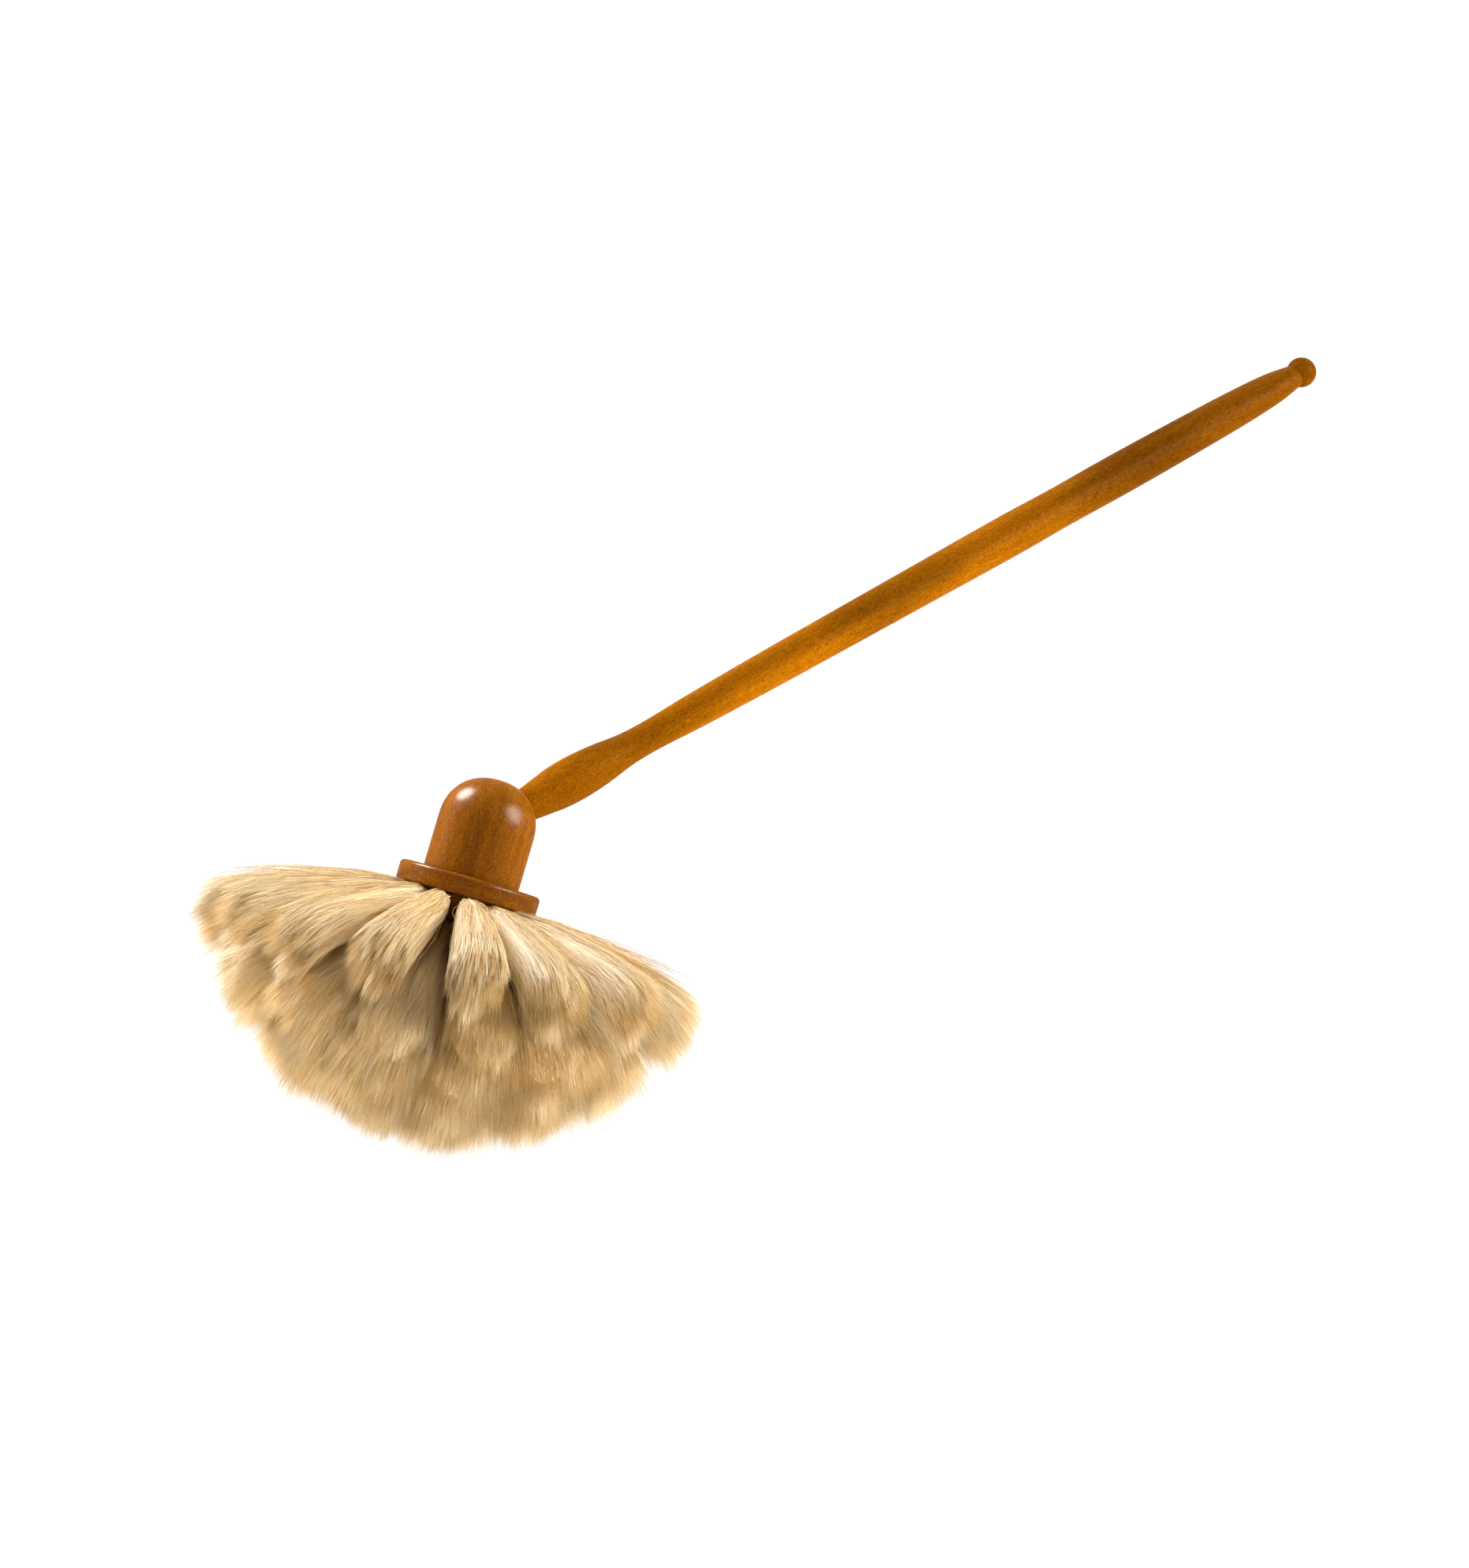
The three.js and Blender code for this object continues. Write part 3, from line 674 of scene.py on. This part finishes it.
def hair_faces(paths, outward, widths, shade, light):
    """The same for flat three-sided hairs, ridge outward, each closed at its root and drawn out to a
    point."""
    count, steps = widths.shape
    runs = np.gradient(paths, axis=1)
    runs /= np.linalg.norm(runs, axis=2, keepdims=True)
    edge = np.cross(runs, outward)
    edge /= np.linalg.norm(edge, axis=2, keepdims=True) + LEAST_EDGE
    ridge = np.cross(edge, runs)
    half = widths[..., None]
    base = paths - HAIR_SUNK * HAIR_RIDGE * half * ridge
    corners = np.stack([base + HAIR_RIDGE * half * ridge, base + half * edge, base - half * edge], 2)
    places = np.concatenate([corners[:, : steps - 1].reshape(count, -1, 3), paths[:, -1:]], 1)
    each = places.shape[1]
    faces, spots = [(2, 1, 0)], [(-ROOT_SPAN, 0), (0, 0), (ROOT_SPAN, 0)]
    for step in range(steps - 1):
        for side in range(3):
            a, b = 3 * step + side, 3 * step + (side + 1) % 3
            left, right = (side - 1.5) / MAP_SPANS, (side - 0.5) / MAP_SPANS
            if step < steps - 2:
                faces.append((a, b, b + 3, a + 3))
                spots += [(left, step), (right, step), (right, step + 1), (left, step + 1)]
            else:
                faces.append((a, b, each - 1))
                spots += [(left, step), (right, step), ((left + right) / 2, step + 1)]
    loops = np.concatenate([np.array(face) for face in faces])
    loops = (loops[None, :] + each * np.arange(count)[:, None]).ravel()
    sizes = np.tile([len(face) for face in faces], count)
    offsets, at_step = np.array(spots).T
    hair_map = np.stack([shade[:, None] + offsets, light[:, at_step.astype(int)]], 2)
    return places.reshape(-1, 3), loops, sizes, hair_map.reshape(-1, 2)


def tuft_mesh(name, bodies):
    """One mesh of a tuft's core and its hairs."""
    firsts = np.cumsum([0] + [len(body[0]) for body in bodies])
    places = np.concatenate([body[0] for body in bodies])
    loops = np.concatenate([body[1] + first for body, first in zip(bodies, firsts)])
    sizes = np.concatenate([body[2] for body in bodies])
    hair_map = np.concatenate([body[3] for body in bodies])
    mesh = bpy.data.meshes.new(name)
    mesh.vertices.add(len(places))
    mesh.vertices.foreach_set("co", places.astype(np.float32).ravel())
    mesh.loops.add(len(loops))
    mesh.loops.foreach_set("vertex_index", loops.astype(np.int32))
    mesh.polygons.add(len(sizes))
    mesh.polygons.foreach_set("loop_start", np.cumsum(sizes) - sizes)
    mesh.uv_layers.new(name="OFBake").data.foreach_set("uv", hair_map.astype(np.float32).ravel())
    mesh.update(calc_edges=True)
    return mesh


# Its colour: each hair's own shade, cream to tan with fine streaks, and a painted shade that darkens
# it towards the root, where little light comes in.
goat_hair = bpy.data.materials.new("goat_hair")
goat_hair.use_nodes = True
tree = goat_hair.node_tree
shader = tree.nodes["Principled BSDF"]
strand_map = add_node(tree, "ShaderNodeUVMap", {}, uv_map="OFBake").outputs["UV"]
across_along = add_node(tree, "ShaderNodeSeparateXYZ", {"Vector": strand_map}).outputs
drawn = add_node(tree, "ShaderNodeMapping", {"Vector": strand_map, "Scale": (45, 2.5, 1)}).outputs[0]
streaks = noise(tree, drawn, 1, detail=4, roughness=0.6, noise_dimensions="2D")
streaks = from_to(tree, streaks, 0.3, 0.7, -0.3, 0.3)
own_shade = add_node(
    tree, "ShaderNodeMath", {0: across_along["X"], 1: streaks}, operation="ADD", use_clamp=True
).outputs[0]
tint = colour_ramp(
    tree,
    own_shade,
    [(0, paint(182, 134, 54)), (0.35, paint(231, 197, 134)), (0.7, paint(245, 228, 191)),
     (1, paint(252, 244, 222))],
)
# painted shade: hairs darken towards their roots, most in the lower rings
painted_root_shade = colour_ramp(
    tree,
    across_along["Y"],
    [(0, paint(114, 80, 32)), (0.3, paint(173, 132, 71)), (0.62, paint(252, 248, 238)),
     (1, paint(255, 252, 242))],
)
tree.links.new(darken(tree, 1, tint, painted_root_shade), shader.inputs["Base Color"])
dullness = from_to(tree, across_along["Y"], 0, 1, 0.42, 0.6)
tree.links.new(dullness, shader.inputs["Roughness"])
shader.inputs["Specular IOR Level"].default_value = 0.2

FLOOR_GAP = 0.0003  # metres from the floor up to the lowest hairs
laid = np.array(head_lie @ Matrix.Scale(MM, 4))


def lay_hairs(points):
    """Puts hairs where the head lies, and those that would reach below the floor onto it."""
    points = points @ laid[:3, :3].T + laid[:3, 3]
    points[..., 2] = np.maximum(points[..., 2], FLOOR_GAP)
    return points


hair_rings = [{**holes, **tufts} for holes, tufts in zip(HOLE_RINGS, TUFT_RINGS)]
for level, ring in enumerate(hair_rings, 1):
    for number, azimuth in enumerate(tuft_azimuths(ring), 1):
        rng = np.random.default_rng(SEED_STEP * ring["seed"] + number)
        own = uneven(rng, ring, azimuth)
        # painted shade at the root: where along the painted shade ramp this tuft's hairs start
        painted_root_light = ring["painted_root_light"]
        core_painted_light = painted_root_light + (1 - painted_root_light) * CORE_STEPS
        bodies = [core_faces(lay_hairs(tuft_core(rng, own, azimuth)), own["shade"], core_painted_light)]
        flyaways = FLYAWAYS if level == 1 else 0
        for hairs in (short_hairs(rng, own, azimuth), long_hairs(rng, own, azimuth, flyaways)):
            paths, outward, widths, shade, share = hairs
            outward = outward @ laid[:3, :3].T
            light = painted_root_light + (1 - painted_root_light) * share
            bodies.append(hair_faces(lay_hairs(paths), outward, widths * MM, shade, light))
        name = f"hair_tuft_{level}_{number:02d}"
        tuft = bpy.data.objects.new(name, tuft_mesh(name, bodies))
        bpy.context.collection.objects.link(tuft)
        bpy.ops.object.select_all(action="DESELECT")
        tuft.select_set(True)
        bpy.context.view_layer.objects.active = tuft
        bpy.ops.object.shade_smooth_by_angle(angle=HAIR_EDGE)
        tuft.data.materials.append(goat_hair)
        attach(tuft, "root")
        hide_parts(f"hair_tier_{level}")

# The anchors, flat bits of drawn steel wire that pin the folded roots at the bottom of their holes.
# They are out of sight behind the hair.
wire = bpy.data.materials.new("anchor_wire")
wire.use_nodes = True
tree = wire.node_tree
shader = tree.nodes["Principled BSDF"]
place = add_node(tree, "ShaderNodeTexCoord", {}).outputs["Object"]
draw_marks = noise(tree, place, 4000, detail=2)
colour = colour_ramp(tree, draw_marks, [(0.3, paint(150, 152, 155)), (0.7, paint(190, 192, 194))])
tree.links.new(colour, shader.inputs["Base Color"])
shader.inputs["Metallic"].default_value = 1
shader.inputs["Roughness"].default_value = 0.35
for node_name, node in frame["nodes"].items():
    if node_name.startswith("anchor_"):
        node.data.materials.clear()
        node.data.materials.append(wire)

# The stage: a plain white floor that keeps a soft shadow, four soft lamps around the duster that give
# fill alone, two that give the highlights on the head, and a camera that looks down on it.
FLOOR_SIZE = 12
WORLD_LIGHT = 0.45
CAMERA_AT = Vector((-0.4070, -0.4734, 1.6190))
CAMERA_TURN = (radians(20.935), 0, radians(-36.044))
CAMERA_LENS = 90.54
SENSOR_WIDTH = 36
FARTHEST_SEEN = 20
LAMP_AIM = Vector((-0.12, 0.02, 0.09))


def seen_rays(tree):
    """1 for rays that show the background: straight, mirrored or through glass. 0 for rays of light."""
    ray = add_node(tree, "ShaderNodeLightPath", {}).outputs
    straight = add_node(
        tree, "ShaderNodeMath", {0: ray["Is Camera Ray"], 1: ray["Is Glossy Ray"]}, operation="ADD"
    ).outputs[0]
    return add_node(
        tree,
        "ShaderNodeMath",
        {0: straight, 1: ray["Is Transmission Ray"]},
        operation="ADD",
        use_clamp=True,
    ).outputs[0]


bpy.ops.object.select_all(action="DESELECT")
bpy.ops.mesh.primitive_plane_add(size=FLOOR_SIZE)
floor = bpy.context.object
floor.name = "floor"
white = bpy.data.materials.new("floor_white")
white.use_nodes = True
tree = white.node_tree
tree.nodes.remove(tree.nodes["Principled BSDF"])
matt = add_node(tree, "ShaderNodeBsdfDiffuse", {"Color": grey(0.8)}).outputs[0]
glow = add_node(tree, "ShaderNodeEmission", {"Color": grey(1), "Strength": 0.8}).outputs[0]
pale = add_node(tree, "ShaderNodeBsdfDiffuse", {"Color": grey(0.3)}).outputs[0]
lit = add_node(tree, "ShaderNodeAddShader", {0: glow, 1: pale}).outputs[0]
surface = add_node(tree, "ShaderNodeMixShader", {0: seen_rays(tree), 1: matt, 2: lit}).outputs[0]
tree.links.new(surface, tree.nodes["Material Output"].inputs["Surface"])
floor.data.materials.append(white)

bpy.ops.object.camera_add(location=CAMERA_AT, rotation=CAMERA_TURN)
camera = bpy.context.object
camera.data.lens = CAMERA_LENS
camera.data.sensor_width = SENSOR_WIDTH
camera.data.clip_end = FARTHEST_SEEN
bpy.context.scene.camera = camera
view_turn = camera.rotation_euler.to_matrix()


def soft_lamp(name, side, distance, size, power, gives):
    """A round soft lamp on a side given as the camera sees it: right, up and towards the camera. It
    gives either fill alone, without a reflection in the wood, or a highlight alone."""
    towards = (view_turn @ Vector(side)).normalized()
    turn = towards.to_track_quat("Z", "Y").to_euler()
    bpy.ops.object.light_add(type="AREA", location=LAMP_AIM + towards * distance, rotation=turn)
    lamp = bpy.context.object
    lamp.name = name
    lamp.data.shape = "DISK"
    lamp.data.size = size
    lamp.data.energy = power
    lamp.visible_glossy = gives == "highlight"
    lamp.visible_diffuse = gives == "fill"


soft_lamp("fill_right", side=(0.93, 0.2, 0.0), distance=2.2, size=1.6, power=82, gives="fill")
soft_lamp("fill_left", side=(-0.88, 0.4, -0.1), distance=1.6, size=1.1, power=39, gives="fill")
soft_lamp("fill_behind", side=(-0.5, 0.85, -0.1), distance=1.6, size=0.6, power=12, gives="fill")
soft_lamp("fill_below", side=(0.1, -0.93, 0.36), distance=1.6, size=1.2, power=42, gives="fill")
soft_lamp("highlight_left", side=(-0.59, 0.79, -0.13), distance=1.3, size=0.6, power=130, gives="highlight")
soft_lamp("highlight_right", side=(0.9, 0.34, 0.27), distance=1.3, size=0.8, power=75, gives="highlight")
world = bpy.data.worlds.new("studio")
bpy.context.scene.world = world
world.use_nodes = True
tree = world.node_tree
tree.nodes["Background"].inputs["Color"].default_value = grey(1)
strength = from_to(tree, seen_rays(tree), 0, 1, WORLD_LIGHT, 1)
tree.links.new(strength, tree.nodes["Background"].inputs["Strength"])
bpy.context.scene.view_settings.view_transform = "Standard"
